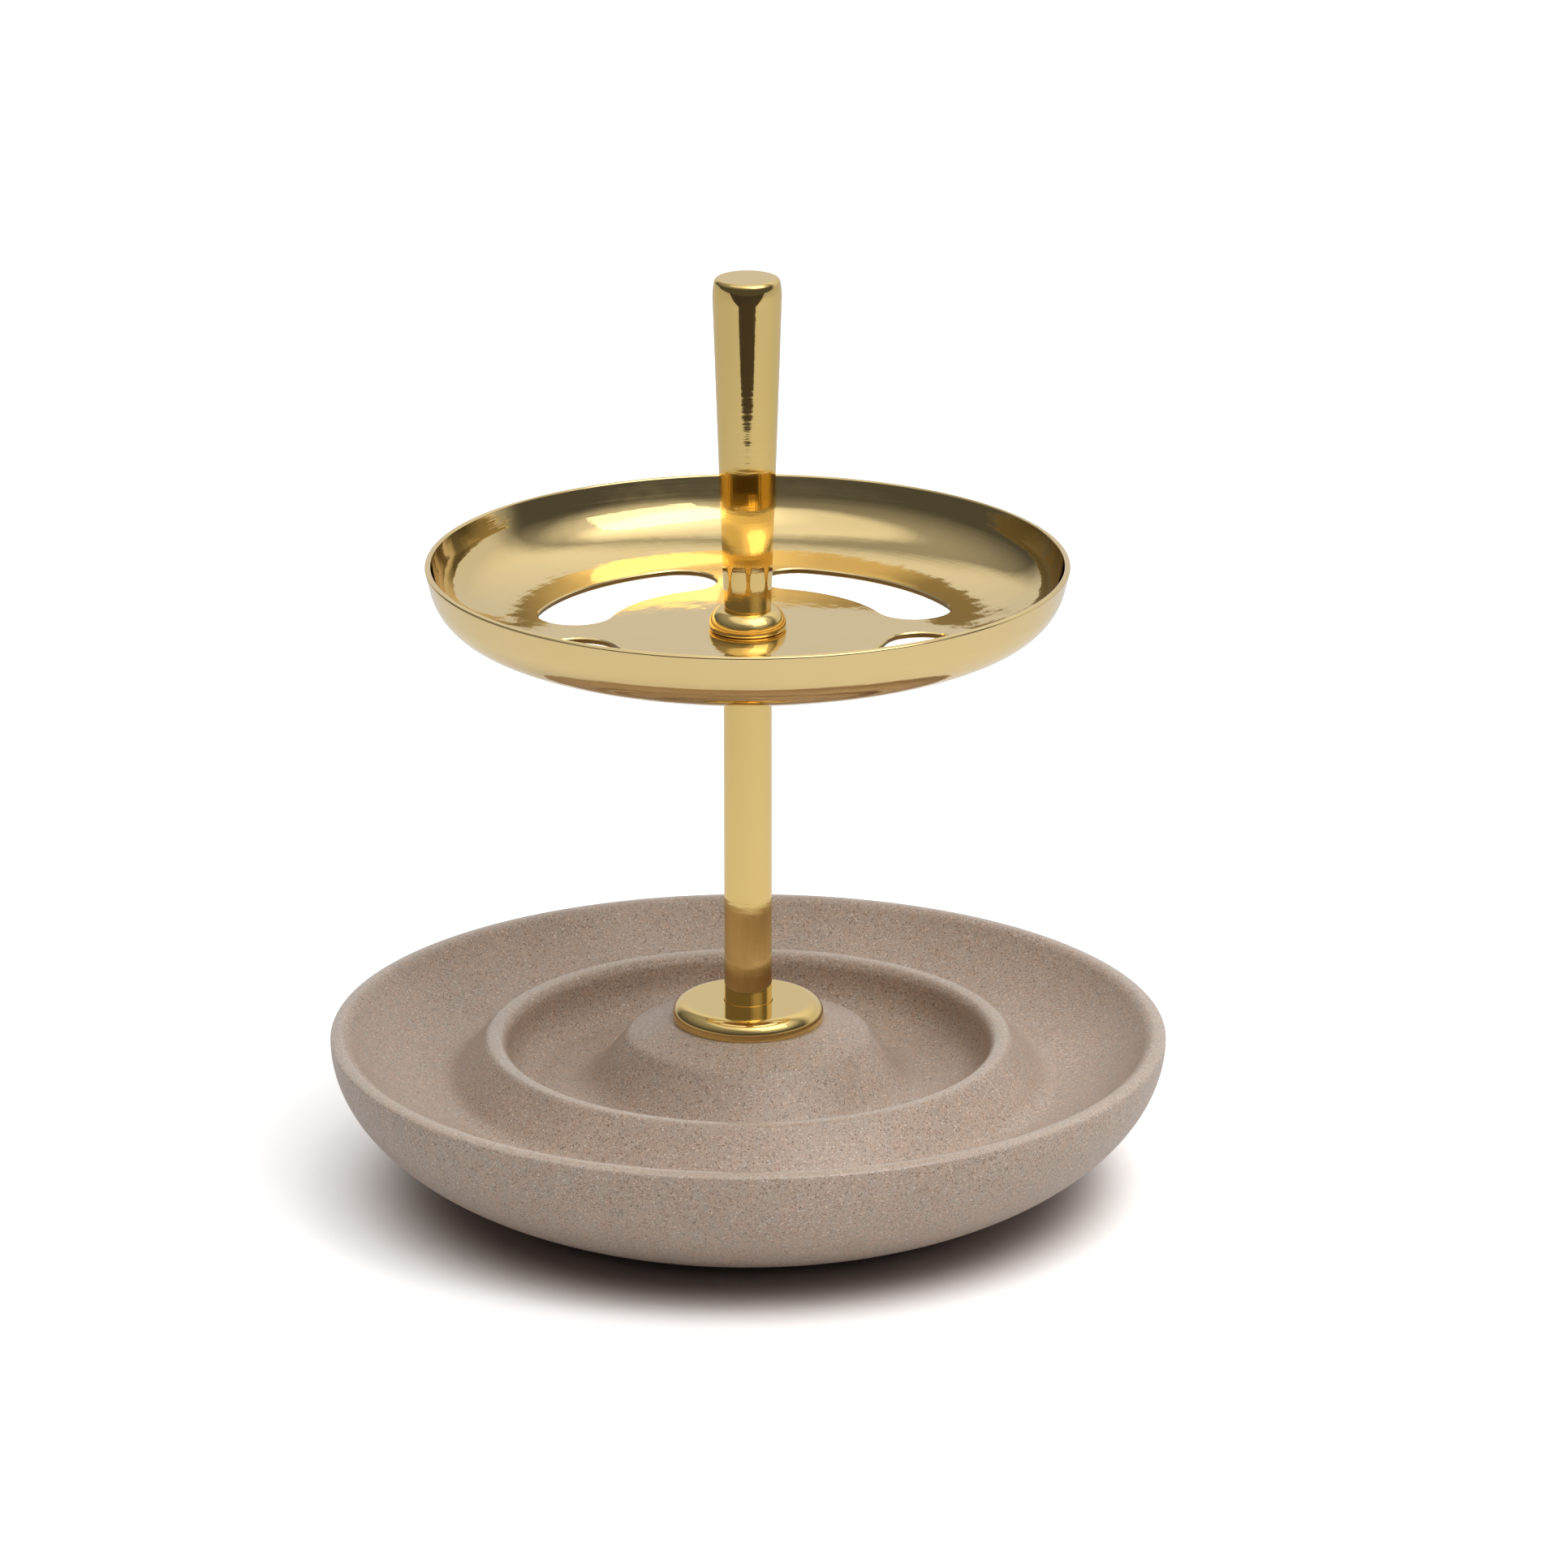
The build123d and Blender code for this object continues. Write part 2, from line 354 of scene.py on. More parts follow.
clouds = add(tree, "ShaderNodeTexNoise", {"Vector": place, "Scale": 1 / cloud, "Detail": 5.0})
cloud_tone = add(
    tree,
    "ShaderNodeMapRange",
    {"Value": clouds.outputs["Fac"], "From Min": 0.3, "From Max": 0.7, "To Min": 0.92, "To Max": 1.04},
)
pits = add(tree, "ShaderNodeTexVoronoi", {"Vector": place, "Scale": 1 / pit_gap})
pit = add(
    tree,
    "ShaderNodeMapRange",
    {"Value": pits.outputs["Distance"], "From Min": pit_r / pit_gap, "From Max": 2 * pit_r / pit_gap},
    interpolation_type="SMOOTHSTEP",
)
# The pits are drawn darker with this: painted shade in them.
painted_pit_shade = add(tree, "ShaderNodeMapRange", {"Value": pit.outputs["Result"], "To Min": 0.5, "To Max": 1.0})
tone_and_pit_shade = add(
    tree,
    "ShaderNodeMath",
    {0: cloud_tone.outputs["Result"], 1: painted_pit_shade.outputs["Result"]},
    operation="MULTIPLY",
)
stone_colour = add(
    tree,
    "ShaderNodeVectorMath",
    {0: hued_sand.outputs["Vector"], "Scale": tone_and_pit_shade.outputs["Value"]},
    operation="SCALE",
)
level_place = add(tree, "ShaderNodeVectorMath", {0: place, 1: (1, 1, 0)}, operation="MULTIPLY")
from_axis = add(tree, "ShaderNodeVectorMath", {0: level_place.outputs["Vector"]}, operation="LENGTH")
stone_height = add(tree, "ShaderNodeSeparateXYZ", {"Vector": place})
in_section = add(
    tree,
    "ShaderNodeCombineXYZ",
    {"X": from_axis.outputs["Value"], "Y": stone_height.outputs["Z"]},
).outputs["Vector"]
rim_crest = (base_r - rim_edge - rim_inset / 2, rim_z, 0)
ring_crest = (well_wall_r + lip_round, ring_z, 0)
away = []
for crest in (rim_crest, ring_crest):
    gap = add(tree, "ShaderNodeVectorMath", {0: in_section, 1: crest}, operation="DISTANCE")
    away.append(gap.outputs["Value"])
nearest = add(tree, "ShaderNodeMath", {0: away[0], 1: away[1]}, operation="MINIMUM")
rub_and_sheen_mask = add(
    tree,
    "ShaderNodeMapRange",
    {
        "Value": nearest.outputs["Value"],
        "From Min": rub_near,
        "From Max": rub_far,
        "To Min": 1.0,
        "To Max": 0.0,
    },
    interpolation_type="SMOOTHSTEP",
)
rub_and_sheen = rub_and_sheen_mask.outputs["Result"]
# The crests are painted paler: partly the wear of rubbing, partly a painted sheen where light grazes them.
rub_sheen_share = add(tree, "ShaderNodeMapRange", {"Value": rub_and_sheen, "To Max": 0.35})
rubbed_sheen_colour = add(
    tree,
    "ShaderNodeMix",
    {"Factor": rub_sheen_share.outputs["Result"], "A": stone_colour.outputs["Vector"], "B": linear(rubbed_sheen_sand)},
    data_type="RGBA",
)
grit = add(tree, "ShaderNodeTexNoise", {"Vector": place, "Scale": 1 / grain, "Detail": 3.0})
roughest = add(tree, "ShaderNodeMapRange", {"Value": rub_and_sheen, "To Min": 0.42, "To Max": 0.16})
smoothest = add(tree, "ShaderNodeMapRange", {"Value": rub_and_sheen, "To Min": 0.28, "To Max": 0.12})
satin = add(
    tree,
    "ShaderNodeMapRange",
    {
        "Value": grit.outputs["Fac"],
        "From Min": 0.3,
        "From Max": 0.7,
        "To Min": smoothest.outputs["Result"],
        "To Max": roughest.outputs["Result"],
    },
)
grit_left = add(tree, "ShaderNodeMapRange", {"Value": rub_and_sheen, "To Min": 1.0, "To Max": 0.25})
grit_bump = add(
    tree,
    "ShaderNodeBump",
    {"Height": grit.outputs["Fac"], "Distance": grit_depth, "Strength": grit_left.outputs["Result"]},
)
pit_bump = add(
    tree,
    "ShaderNodeBump",
    {"Height": pit.outputs["Result"], "Distance": pit_depth, "Normal": grit_bump.outputs["Normal"]},
)
add(
    tree,
    shader,
    {
        "Base Color": rubbed_sheen_colour.outputs["Result"],
        "Roughness": satin.outputs["Result"],
        "IOR": 1.5,
        "Normal": pit_bump.outputs["Normal"],
    },
)
fit(base, sandstone, "stand", "stone", "stone_base")

# Soft washer: a ring of black rubber between the stone and the steel washer, so that the screw can't crack
# the stone. It is punched from sheet that was rolled between cloth, which leaves a faint grain.
cloth_grain = 0.4 * mm
cloth_depth = 0.05 * mm
bloom_patch = 4 * mm
rubber_black = "#161616"
rubber_grey = "#2b2a29"

# Sheet rubber: near black and matt, a little worn to grey
rubber, tree, shader, place = new_material("sheet_rubber")
bloom = add(tree, "ShaderNodeTexNoise", {"Vector": place, "Scale": 1 / bloom_patch, "Detail": 4.0})
worn = add(
    tree,
    "ShaderNodeMix",
    {"Factor": bloom.outputs["Fac"], "A": linear(rubber_black), "B": linear(rubber_grey)},
    data_type="RGBA",
)
cloth = add(tree, "ShaderNodeTexNoise", {"Vector": place, "Scale": 1 / cloth_grain, "Detail": 2.0})
cloth_bump = add(tree, "ShaderNodeBump", {"Height": cloth.outputs["Fac"], "Distance": cloth_depth})
add(
    tree,
    shader,
    {"Base Color": worn.outputs["Result"], "Roughness": 0.8, "Normal": cloth_bump.outputs["Normal"]},
)


def finish_node(node, finish):
    """Give a CAD node, whose shape is right as it is, its material."""
    mesh = bpy.data.objects[node].data
    mesh.materials.clear()
    mesh.materials.append(finish)


finish_node("soft_washer", rubber)

# Steel washer and base screw: stock fixings of zinc-plated steel. The socket screw goes up through the
# washers, the stone and the flange, and pulls the post down on them.
spangle = 1.5 * mm
zinc_dull = "#a9afb4"
zinc_bright = "#c9cdcf"

# Zinc-plated steel: bluish grey, half bright, with the dull patches that plating in a barrel leaves
zinc, tree, shader, place = new_material("zinc_plated_steel")
spangles = add(tree, "ShaderNodeTexNoise", {"Vector": place, "Scale": 1 / spangle, "Detail": 4.0})
plating = add(
    tree,
    "ShaderNodeMix",
    {"Factor": spangles.outputs["Fac"], "A": linear(zinc_dull), "B": linear(zinc_bright)},
    data_type="RGBA",
)
dulled = add(
    tree,
    "ShaderNodeMapRange",
    {"Value": spangles.outputs["Fac"], "From Min": 0.3, "From Max": 0.7, "To Min": 0.25, "To Max": 0.42},
)
add(
    tree,
    shader,
    {"Base Color": plating.outputs["Result"], "Metallic": 1.0, "Roughness": dulled.outputs["Result"]},
)
for node in ("steel_washer", "base_screw"):
    finish_node(node, zinc)

# Foot flange: a brass disc with a rounded upper edge, turned from bar. It spreads the post's pull over the
# stone, and a shallow seat in its top takes the post's end.
seat_depth = 1 * mm
seat_z = flange_high.z - seat_depth
seat_bore_r = 4.05 * mm
screw_bore_r = 2.75 * mm
flange_round = 2.3 * mm
flange_edge = 0.2 * mm
seat_edge = 0.15 * mm


def polished_brass(name, warm, pale, around, dent, dent_depth, line_depth):
    """Yellow brass, turned or spun and then buffed by hand to a mirror that isn't quite even.

    It gives broad warm reflections with ragged edges: the buff leaves slow dents, and the tool's lines,
    drawn coarser than a real feed so that they show, run around the axis and break off after some way.
    """
    line_gap = 0.9 * mm
    tarnish_patch = 2 * dent
    brass, tree, shader, place = new_material(name)
    flat = add(tree, "ShaderNodeVectorMath", {0: place, 1: (1, 1, 0)}, operation="MULTIPLY")
    radius = add(tree, "ShaderNodeVectorMath", {0: flat.outputs["Vector"]}, operation="LENGTH")
    split = add(tree, "ShaderNodeSeparateXYZ", {"Vector": place})
    along = add(
        tree,
        "ShaderNodeMath",
        {0: radius.outputs["Value"], 1: split.outputs["Z"]},
        operation="ADD",
    )
    cross = add(
        tree,
        "ShaderNodeCombineXYZ",
        {"X": split.outputs["X"], "Y": split.outputs["Y"], "Z": along.outputs["Value"]},
    )
    stretch = (1 / around, 1 / around, 1 / line_gap)
    track = add(tree, "ShaderNodeVectorMath", {0: cross.outputs["Vector"], 1: stretch}, operation="MULTIPLY")
    lines = add(tree, "ShaderNodeTexNoise", {"Vector": track.outputs["Vector"], "Scale": 1.0, "Detail": 3.0})
    dents = add(tree, "ShaderNodeTexNoise", {"Vector": place, "Scale": 1 / dent, "Detail": 2.5})
    tarnish = add(tree, "ShaderNodeTexNoise", {"Vector": place, "Scale": 1 / tarnish_patch, "Detail": 5.0})
    colour = add(
        tree,
        "ShaderNodeMix",
        {"Factor": tarnish.outputs["Fac"], "A": linear(warm), "B": linear(pale)},
        data_type="RGBA",
    )
    haze = add(
        tree,
        "ShaderNodeMapRange",
        {"Value": tarnish.outputs["Fac"], "From Min": 0.3, "From Max": 0.7, "To Min": 0.03, "To Max": 0.07},
    )
    dent_bump = add(tree, "ShaderNodeBump", {"Height": dents.outputs["Fac"], "Distance": dent_depth})
    line_bump = add(
        tree,
        "ShaderNodeBump",
        {"Height": lines.outputs["Fac"], "Distance": line_depth, "Normal": dent_bump.outputs["Normal"]},
    )
    add(
        tree,
        shader,
        {
            "Base Color": colour.outputs["Result"],
            "Metallic": 1.0,
            "Roughness": haze.outputs["Result"],
            "Normal": line_bump.outputs["Normal"],
        },
    )
    return brass


flange = turned(
    "foot_flange_turned",
    [
        (screw_bore_r, flange_low.z, 0),
        (flange_high.x, flange_low.z, flange_edge),
        (flange_high.x, flange_high.z, flange_round),
        (seat_bore_r, flange_high.z, seat_edge),
        (seat_bore_r, seat_z, 0),
        (screw_bore_r, seat_z, 0),
    ],
    sides=192,
)
turned_brass = polished_brass(
    "buffed_turned_brass",
    warm="#e9ca7f",
    pale="#edcf8a",
    around=6 * mm,
    dent=9 * mm,
    dent_depth=0.025 * mm,
    line_depth=0.006 * mm,
)
fit(flange, turned_brass, "stand", "polished_brass", "foot_flange")

# Stem: a plain brass rod that stands in the flange. Both ends are drilled and tapped, below for the base
# screw and above for the stud.
stem_low, stem_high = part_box("stem")
stud_low, stud_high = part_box("top_stud")
screw_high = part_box("base_screw")[1]
stem_edge = 0.25 * mm
stem_top_edge = 0.15 * mm
tapped_r = 2.55 * mm
tap_spare = 2.5 * mm

stem = turned(
    "stem_rod",
    [
        (0, screw_high.z + tap_spare, 0),
        (tapped_r, screw_high.z + tap_spare, 0),
        (tapped_r, stem_low.z, 0),
        (stem_high.x - stem_edge, stem_low.z, 0),
        (stem_high.x, stem_low.z + stem_edge, 0),
        (stem_high.x, stem_high.z, stem_top_edge),
        (tapped_r, stem_high.z, 0),
        (tapped_r, stud_low.z, 0),
        (0, stud_low.z, 0),
    ],
    sides=128,
)
fit(stem, turned_brass, "stand", "polished_brass", "stem")

# Stud: a length of zinc-plated M5 screwed rod, fixed in the stem. It passes through the dish and the
# collar, and its thread shows when the handle is unscrewed.
stud_r = stud_high.x
thread_pitch = 0.8 * mm
thread_depth = 0.49 * mm
stud_edge = 0.5 * mm


def screwed_rod(name, r, low, high, sides, rows_per_turn):
    """Rod with a right-hand V thread and chamfered ends."""
    work = bmesh.new()
    rows = round((high - low) / thread_pitch * rows_per_turn)
    rings = []
    for row in range(rows + 1):
        z = low + (high - low) * row / rows
        end_r = r - stud_edge + min(z - low, high - z)
        ring = []
        for k in range(sides):
            share = (z / thread_pitch - k / sides) % 1
            thread_r = min(r - thread_depth * abs(2 * share - 1), end_r)
            turn = 2 * pi * k / sides
            ring.append(work.verts.new((thread_r * cos(turn), thread_r * sin(turn), z)))
        rings.append(ring)
    for ring, following in zip(rings, rings[1:]):
        for k in range(sides):
            after = (k + 1) % sides
            work.faces.new((ring[k], ring[after], following[after], following[k]))
    for ring, z in ((rings[0], low), (rings[-1], high)):
        middle = work.verts.new((0, 0, z))
        for k in range(sides):
            work.faces.new((ring[k], ring[(k + 1) % sides], middle))
    return finished(name, work)


stud = screwed_rod("screwed_stud", stud_r, stud_low.z, stud_high.z, sides=48, rows_per_turn=8)
fit(stud, zinc, "stand", "zinc_plated_steel", "top_stud")

# Dish washer: a thin brass ring on the post's end, under the dish. It gives the sheet a broader seat than
# the rod.
dish_ring_low, dish_ring_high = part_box("dish_washer")
stud_bore_r = 2.55 * mm
dish_ring_edge = 0.2 * mm

dish_ring = turned(
    "dish_washer_ring",
    [
        (stud_bore_r, dish_ring_low.z, 0),
        (dish_ring_high.x, dish_ring_low.z, dish_ring_edge),
        (dish_ring_high.x, dish_ring_high.z, dish_ring_edge),
        (stud_bore_r, dish_ring_high.z, 0),
    ],
    sides=128,
)
fit(dish_ring, turned_brass, "stand", "polished_brass", "dish_washer")

# Dish: a shallow pan spun from 1 mm brass sheet and buffed inside and out, with four curved slots cut
# through its floor. The collar clamps it on the washer.
dish_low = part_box("dish")[0]
brim_r = 53.2 * mm
dish_h = 12.35 * mm
sheet = 1 * mm
dish_edge = 0.35 * mm
floor_round = 29 * mm
floor_turn = 25
wall_round = 9.2 * mm
wall_angle = 76.5
slot_count = 4
slot_path_r = 29.85 * mm
slot_half = 6.15 * mm
bridge_w = 7.7 * mm
bridge_angle = 3.3
slot_edge = 0.2 * mm
grid_r = 38 * mm
cap_steps = 8
slot_steps = 26
bridge_steps = 6
hub_rows = 10
outer_rows = 5

slot_pitch = 360 / slot_count
slot_turn = slot_pitch / 2 - degrees((bridge_w / 2 + slot_half) / slot_path_r)
wall_up_from = floor_round - wall_round
flare_h = dish_h - floor_round + wall_up_from * cos(radians(floor_turn))
flare_h += wall_round * cos(radians(wall_angle))
flat_r = brim_r - flare_h / tan(radians(wall_angle)) - wall_round * sin(radians(wall_angle))
flat_r -= wall_up_from * sin(radians(floor_turn))


def polar(r, angle):
    """Point in the plane at a radius and an angle in degrees."""
    return Vector((r * cos(radians(angle)), r * sin(radians(angle))))


def floor_z(r, lift):
    """Height of the dish's floor at a radius, lifted through the sheet's thickness from its underside."""
    if r <= flat_r:
        return dish_low.z + lift
    return dish_low.z + floor_round - sqrt((floor_round - lift) ** 2 - (r - flat_r) ** 2)


def wall_curve(lift):
    """Section of the dish from the edge of its slotted floor to the top of its wall's bend."""
    start = 270 + degrees(asin((grid_r - flat_r) / (floor_round - lift)))
    floor_middle = (flat_r, dish_low.z + floor_round)
    wall_middle = (
        flat_r + wall_up_from * sin(radians(floor_turn)),
        dish_low.z + floor_round - wall_up_from * cos(radians(floor_turn)),
    )
    floor_r = floor_round - lift
    wall_r = wall_round - lift
    floor_arc = arc(floor_middle, floor_r, floor_r, start, 270 + floor_turn, steps=9)
    wall_arc = arc(wall_middle, wall_r, wall_r, 270 + floor_turn, 270 + wall_angle, steps=12)
    return floor_arc + wall_arc[1:]


def slot_columns():
    """Columns of the dish's floor across a slot at angle 0, from one tip of the slot to the other.

    Each is an angle around the dish and the slot's two sides, as a point and a direction into the sheet. A
    tip is where a line from the axis just touches the slot's round end, and both sides are one point there.
    """
    columns = []
    edge_half = slot_half + slot_edge
    lean = degrees(asin(edge_half / slot_path_r))
    ends = [(-slot_turn, -1, k / cap_steps) for k in range(cap_steps)]
    ends += [(slot_turn * (2 * k / slot_steps - 1), 1, 1) for k in range(slot_steps + 1)]
    ends += [(slot_turn, 1, k / cap_steps) for k in reversed(range(cap_steps))]
    for turn, way, opened in ends:
        tip = 90 + lean
        inner = polar(1, turn + way * (tip + (180 - tip) * opened))
        outer = polar(1, turn + way * tip * (1 - opened))
        path = polar(slot_path_r, turn)
        between = path + (inner + outer) / 2 * edge_half
        angle = degrees(atan2(between.y, between.x))
        columns.append((angle, (path + inner * slot_half, inner), (path + outer * slot_half, outer)))
    return columns


def spun_dish(name):
    """Dish as one closed sheet: floor and underside in columns, opened at each slot, and the wall."""
    same_point = 1e-8
    work = bmesh.new()
    pattern = slot_columns()
    tip_angle = pattern[-1][0]
    bridge = slot_pitch - 2 * tip_angle
    columns = []
    for slot in range(slot_count):
        slot_angle = bridge_angle + slot_pitch * (slot + 0.5)
        spin = Matrix.Rotation(radians(slot_angle), 2)
        for angle, inner, outer in pattern:
            sides = [(spin @ point, spin @ out) for point, out in (inner, outer)]
            columns.append((slot_angle + angle, sides))
        for k in range(1, bridge_steps):
            angle = slot_angle + tip_angle + bridge * k / bridge_steps
            columns.append((angle, [(polar(slot_path_r, angle), Vector((0, 0)))] * 2))
    count = len(columns)

    def layer(lift):
        """Rows of points from the bore to the slots, and from the slots to the edge of the floor."""
        hub, rest = [], []
        for angle, ((inner, into), (outer, out)) in columns:
            bore, near = polar(stud_bore_r, angle), inner + into * slot_edge
            far, edge = outer + out * slot_edge, polar(grid_r, angle)
            spots = [bore.lerp(near, k / hub_rows) for k in range(hub_rows + 1)]
            hub.append([work.verts.new((p.x, p.y, floor_z(p.length, lift))) for p in spots])
            spots = [far.lerp(edge, k / outer_rows) for k in range(outer_rows + 1)]
            rest.append([work.verts.new((p.x, p.y, floor_z(p.length, lift))) for p in spots])
            if (near - far).length < same_point:
                work.verts.remove(rest[-1][0])
                rest[-1][0] = hub[-1][-1]
        return hub, rest

    top_hub, top_rest = layer(sheet)
    low_hub, low_rest = layer(0)
    flare = polar(1, wall_angle)
    brim = Vector((brim_r, dish_low.z + dish_h))
    inside = brim + Vector((-flare.y, flare.x)) * sheet
    wall_section = rounded(
        wall_curve(sheet) + [(*inside, dish_edge), (*brim, dish_edge)] + wall_curve(0)[::-1]
    )
    walls = []
    for (angle, sides), top, low in zip(columns, top_rest, low_rest):
        spots = [polar(r, angle).to_3d() + Vector((0, 0, z)) for r, z in wall_section[1:-1]]
        walls.append([top[-1]] + [work.verts.new(spot) for spot in spots] + [low[-1]])
    bores = [[top[0], low[0]] for top, low in zip(top_hub, low_hub)]
    for rows in (top_hub, top_rest, low_hub, low_rest, walls, bores):
        for k in range(count):
            here, after = rows[k], rows[(k + 1) % count]
            for n in range(len(here) - 1):
                work.faces.new((here[n], here[n + 1], after[n + 1], after[n]))

    per_slot = len(pattern)
    for slot in range(slot_count):
        first = slot * (per_slot + bridge_steps - 1)
        around = [(first + k, 0) for k in range(per_slot)]
        around += [(first + k, 1) for k in range(per_slot - 2, 0, -1)]
        loop = []
        for k, side in around:
            spot = columns[k][1][side][0]
            upper = floor_z(spot.length, sheet) - slot_edge
            lower = floor_z(spot.length, 0) + slot_edge
            edges = (top_rest[k][0], low_rest[k][0]) if side else (top_hub[k][-1], low_hub[k][-1])
            cut = [work.verts.new((spot.x, spot.y, z)) for z in (upper, lower)]
            loop.append((edges[0], *cut, edges[1]))
        for here, after in zip(loop, loop[1:] + loop[:1]):
            for n in range(len(here) - 1):
                strip = work.faces.new((here[n], here[n + 1], after[n + 1], after[n]))
                strip.material_index = 1 if n == 1 else 0
    return finished(name, work)


dish = spun_dish("spun_dish")
spun_brass = polished_brass(
    "buffed_spun_brass",
    warm="#e8cd8e",
    pale="#ecd29b",
    around=30 * mm,
    dent=7 * mm,
    dent_depth=0.07 * mm,
    line_depth=0.012 * mm,
)
fit(dish, spun_brass, "dish", "polished_brass", "dish")

# Sawn brass: the cut sides of the slots, which the buff doesn't reach. They are dull and brown with fine
# saw marks.
saw_gap = 0.15 * mm
saw_depth = 0.02 * mm
sawn_dark = "#6b4f28"
sawn_pale = "#94733f"
sawn, tree, shader, place = new_material("sawn_brass")
saw = add(tree, "ShaderNodeTexNoise", {"Vector": place, "Scale": 1 / saw_gap, "Detail": 2.0})
dull = add(
    tree,
    "ShaderNodeMix",
    {"Factor": saw.outputs["Fac"], "A": linear(sawn_dark), "B": linear(sawn_pale)},
    data_type="RGBA",
)
saw_bump = add(tree, "ShaderNodeBump", {"Height": saw.outputs["Fac"], "Distance": saw_depth})
add(
    tree,
    shader,
    {
        "Base Color": dull.outputs["Result"],
        "Metallic": 1.0,
        "Roughness": 0.42,
        "Normal": saw_bump.outputs["Normal"],
    },
)
dish.data.materials.append(sawn)

# Collar: a small ring with a domed side, turned from brass bar. It is on the stud between the dish and the
# handle, and spreads the handle's pull over the dish.
collar_low, collar_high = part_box("collar")
collar_foot_r = 6 * mm
collar_foot_h = 0.6 * mm
dome_r = 4.3 * mm

bulge = collar_high.x - collar_foot_r
foot_bend = (bulge**2 + collar_foot_h**2) / (2 * bulge)
bend_middle = (collar_high.x - foot_bend, collar_low.z + collar_foot_h)
foot_start = -degrees(asin(collar_foot_h / foot_bend))
dome_middle = (dome_r, bend_middle[1])
dome_h = collar_high.z - bend_middle[1]

collar = turned(
    "domed_collar",
    [
        (stud_bore_r, collar_low.z, 0),
        *arc(bend_middle, foot_bend, foot_bend, foot_start, 0, steps=8),
        *arc(dome_middle, collar_high.x - dome_r, dome_h, 0, 90, steps=20)[1:],
        (stud_bore_r, collar_high.z, 0),
    ],
    sides=128,
)
fit(collar, turned_brass, "collar", "polished_brass", "collar")

# Handle: a brass rod that widens towards its flat top, turned from bar and tapped below for the stud. The
# stand is lifted by it, and screwing it down clamps the collar and the dish.
handle_low, handle_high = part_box("handle")
handle_foot_r = 3.9 * mm
handle_top_r = 5.8 * mm
handle_round = 0.8 * mm
handle_foot_edge = 0.12 * mm
crown_h = 3.6 * mm
crown_bend = 13 * mm

# Below the top the side curves in. The last points of that curve give way to the round of the top edge.
taper = atan2(handle_top_r - handle_foot_r, handle_high.z - handle_low.z)
crown_r = handle_top_r - crown_h * tan(taper)
crown_middle = (crown_r - crown_bend * cos(taper), handle_high.z - crown_h + crown_bend * sin(taper))
crown_turn = asin((handle_high.z - crown_middle[1]) / crown_bend)
crown = arc(crown_middle, crown_bend, crown_bend, -degrees(taper), degrees(crown_turn), steps=12)
crown_end = 3

handle = turned(
    "handle_rod",
    [
        (0, stud_high.z + tap_spare, 0),
        (tapped_r, stud_high.z + tap_spare, 0),
        (tapped_r, handle_low.z, 0),
        (handle_foot_r, handle_low.z, handle_foot_edge),
        *crown[:-crown_end],
        (crown[-1][0], handle_high.z, handle_round),
        (0, handle_high.z, 0),
    ],
    sides=160,
)
fit(handle, turned_brass, "handle", "polished_brass", "handle")

# Floor: a wide, plain sheet of white paper that the stand is on. It belongs to the stage, not to the part.
floor_half = 6.0
# Painted shadow under the wall out to the whitened radius; painted fall-off of light between the last two
# radii
painted_shadow_r = 48 * mm
whitened_r = 69 * mm
dimming_r = 150 * mm
dimmed_r = 450 * mm
painted_shadow_paper = (0.36, 0.31, 0.3, 1)
whitened_paper = (1.5, 1.5, 1.5, 1)
floor_mesh = bpy.data.meshes.new("floor")
floor_corners = [(x * floor_half, y * floor_half, 0) for x, y in ((-1, -1), (1, -1), (1, 1), (-1, 1))]
floor_mesh.from_pydata(floor_corners, [], [(0, 1, 2, 3)])
floor = bpy.data.objects.new("floor", floor_mesh)
bpy.context.scene.collection.objects.link(floor)

# White paper: matt. To the camera it is whiter than white away from the stand, as on a whitened
# background, and close under the bowl-shaped wall it carries a painted shadow of warm grey. Reflections
# and bounced light find it off-white, with a painted fall-off of light that makes it dimmer further out.
paper = bpy.data.materials.new("white_paper")
paper.use_nodes = True
tree = paper.node_tree
seen = add(tree, "ShaderNodeLightPath", {}).outputs["Is Camera Ray"]
on_floor = add(tree, "ShaderNodeTexCoord", {}).outputs["Object"]
from_middle = add(tree, "ShaderNodeVectorMath", {0: on_floor}, operation="LENGTH").outputs["Value"]
away_share = add(
    tree,
    "ShaderNodeMapRange",
    {"Value": from_middle, "From Min": painted_shadow_r, "From Max": whitened_r},
    interpolation_type="SMOOTHSTEP",
)
whitened_with_shadow = add(
    tree,
    "ShaderNodeMix",
    {"Factor": away_share.outputs["Result"], "A": painted_shadow_paper, "B": whitened_paper},
    data_type="RGBA",
)
painted_falloff = add(
    tree,
    "ShaderNodeMapRange",
    {"Value": from_middle, "From Min": dimming_r, "From Max": dimmed_r, "To Min": 0.86, "To Max": 0.68},
)
whiteness = add(
    tree,
    "ShaderNodeMix",
    {"Factor": seen, "A": painted_falloff.outputs["Result"], "B": whitened_with_shadow.outputs["Result"]},
    data_type="RGBA",
)
matt = add(tree, "ShaderNodeBsdfDiffuse", {"Color": whiteness.outputs["Result"]})
add(tree, tree.nodes["Material Output"], {"Surface": matt.outputs["BSDF"]})
floor_mesh.materials.append(paper)

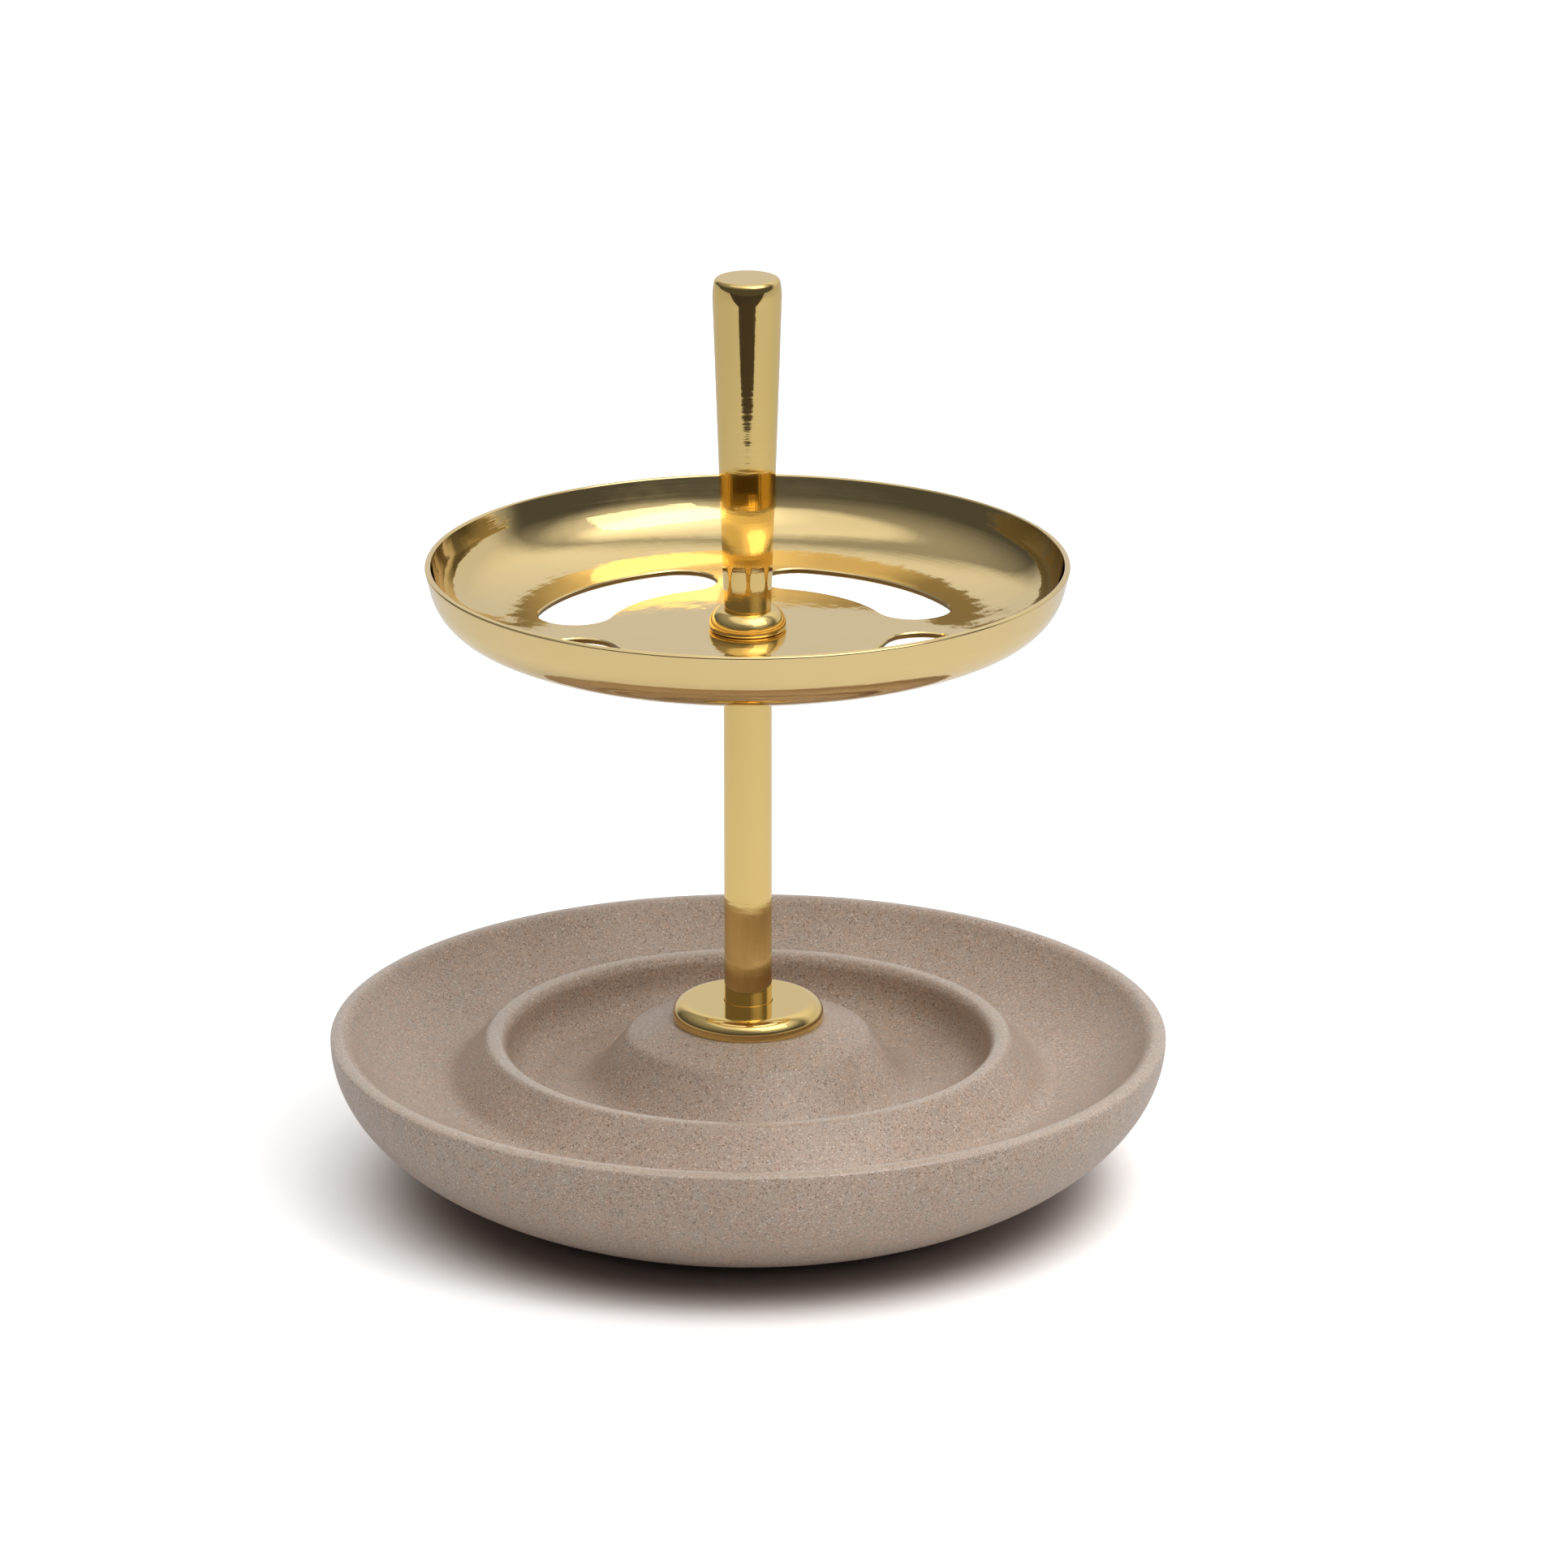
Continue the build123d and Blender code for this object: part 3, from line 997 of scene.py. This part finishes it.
# Dark card: a wedge of dark laid on the floor in front, out of the picture, that stands for the dark room
# beyond the paper. Only reflections show it, as a painted reflection that gives the handle a dark streak;
# the camera, bounced light and shadows don't see it.
card_lift = 2 * mm
card_near_y = -0.375
card_near_half = 0.15
card_far_half = 10.8
reflected_dark = "#443e3a"
card_mesh = bpy.data.meshes.new("dark_card")
card_corners = (
    (-card_far_half, -floor_half),
    (card_far_half, -floor_half),
    (card_near_half, card_near_y),
    (-card_near_half, card_near_y),
)
card_mesh.from_pydata([(x, y, card_lift) for x, y in card_corners], [], [(0, 1, 2, 3)])
card = bpy.data.objects.new("dark_card", card_mesh)
bpy.context.scene.collection.objects.link(card)
black, tree, shader, place = new_material("reflection_only_dark")
add(tree, shader, {"Base Color": linear(reflected_dark), "Roughness": 0.9, "Specular IOR Level": 0.1})
card_mesh.materials.append(black)
card.visible_camera = False
card.visible_diffuse = False
card.visible_shadow = False

# Light: a large soft lamp with a hot middle stands to the right in front, high up, and the ceiling glows
# about it. The room has a bright ceiling, brighter on the right, and a bright wall behind, and it is dark
# low down elsewhere.
lamp_away = 1.3


def direction(turn, rise):
    """Direction from the stand, by its turn from the front towards the right and its rise, in radians."""
    return Vector((sin(turn) * cos(rise), -cos(turn) * cos(rise), sin(rise)))


lamp_way = direction(turn=radians(45), rise=radians(53))
bright_side = direction(turn=radians(100), rise=0)
bright_wall = direction(turn=radians(160), rise=0)
ceiling_lean = (0, -0.2, 1)

world = bpy.data.worlds.new("room")
bpy.context.scene.world = world
world.use_nodes = True
tree = world.node_tree
look = add(tree, "ShaderNodeTexCoord", {}).outputs["Generated"]
look_z = add(tree, "ShaderNodeSeparateXYZ", {"Vector": look}).outputs["Z"]
look_up = add(tree, "ShaderNodeVectorMath", {0: look, 1: ceiling_lean}, operation="DOT_PRODUCT")
facing_side = add(tree, "ShaderNodeVectorMath", {0: look, 1: bright_side}, operation="DOT_PRODUCT")
ceiling = add(
    tree,
    "ShaderNodeMapRange",
    {
        "Value": facing_side.outputs["Value"],
        "From Min": -0.6,
        "From Max": 0.6,
        "To Min": 0.9,
        "To Max": 1.2,
    },
)
dark_walls = add(
    tree,
    "ShaderNodeMapRange",
    {"Value": look_z, "From Min": 0.15, "From Max": 0.75, "To Min": 0.09, "To Max": 0.4},
)
overhead = add(
    tree,
    "ShaderNodeMapRange",
    {
        "Value": look_up.outputs["Value"],
        "From Min": 0.72,
        "From Max": 0.88,
        "To Min": dark_walls.outputs["Result"],
        "To Max": ceiling.outputs["Result"],
    },
    interpolation_type="SMOOTHSTEP",
)
wall_top = add(
    tree,
    "ShaderNodeMapRange",
    {"Value": look_z, "From Min": 0.35, "From Max": 0.75, "To Min": 0.72, "To Max": 1.0},
)
facing_wall = add(tree, "ShaderNodeVectorMath", {0: look, 1: bright_wall}, operation="DOT_PRODUCT")
behind = add(
    tree,
    "ShaderNodeMapRange",
    {
        "Value": facing_wall.outputs["Value"],
        "From Min": 0.35,
        "From Max": 0.7,
        "To Min": 0.09,
        "To Max": wall_top.outputs["Result"],
    },
    interpolation_type="SMOOTHSTEP",
)
room = add(
    tree,
    "ShaderNodeMath",
    {0: overhead.outputs["Result"], 1: behind.outputs["Result"]},
    operation="MAXIMUM",
)
facing_lamp = add(tree, "ShaderNodeVectorMath", {0: look, 1: lamp_way}, operation="DOT_PRODUCT")
glow = add(
    tree,
    "ShaderNodeMapRange",
    {"Value": facing_lamp.outputs["Value"], "From Min": 0.7, "From Max": 0.95, "To Max": 0.5},
    interpolation_type="SMOOTHSTEP",
)
lit_room = add(
    tree,
    "ShaderNodeMath",
    {0: room.outputs["Value"], 1: glow.outputs["Result"]},
    operation="ADD",
)
add(
    tree,
    tree.nodes["Background"],
    {"Color": linear("#ffffff"), "Strength": lit_room.outputs["Value"]},
)

for name, size, energy in (("lamp", 0.95, 2.7), ("lamp_middle", 0.32, 1.2)):
    lamp = bpy.data.lights.new(name, "AREA")
    lamp.size = size
    lamp.energy = energy
    lamp_object = bpy.data.objects.new(name, lamp)
    lamp_object.location = lamp_way * lamp_away
    lamp_object.rotation_euler = lamp_way.to_track_quat("Z", "Y").to_euler()
    bpy.context.scene.collection.objects.link(lamp_object)

# Camera: far off and a little above, looking down at the dish and the base. Its lens and its film's width
# are in millimetres.
camera_lens = 185.33
film_w = 36
camera_place = (0.006, -1.2738, 0.4873)
camera_tilt = radians(71.869)
camera = bpy.data.cameras.new("camera")
camera.lens = camera_lens
camera.sensor_width = film_w
camera_object = bpy.data.objects.new("camera", camera)
camera_object.location = camera_place
camera_object.rotation_euler = (camera_tilt, 0, 0)
bpy.context.scene.collection.objects.link(camera_object)
bpy.context.scene.camera = camera_object
bpy.context.scene.view_settings.view_transform = "Standard"
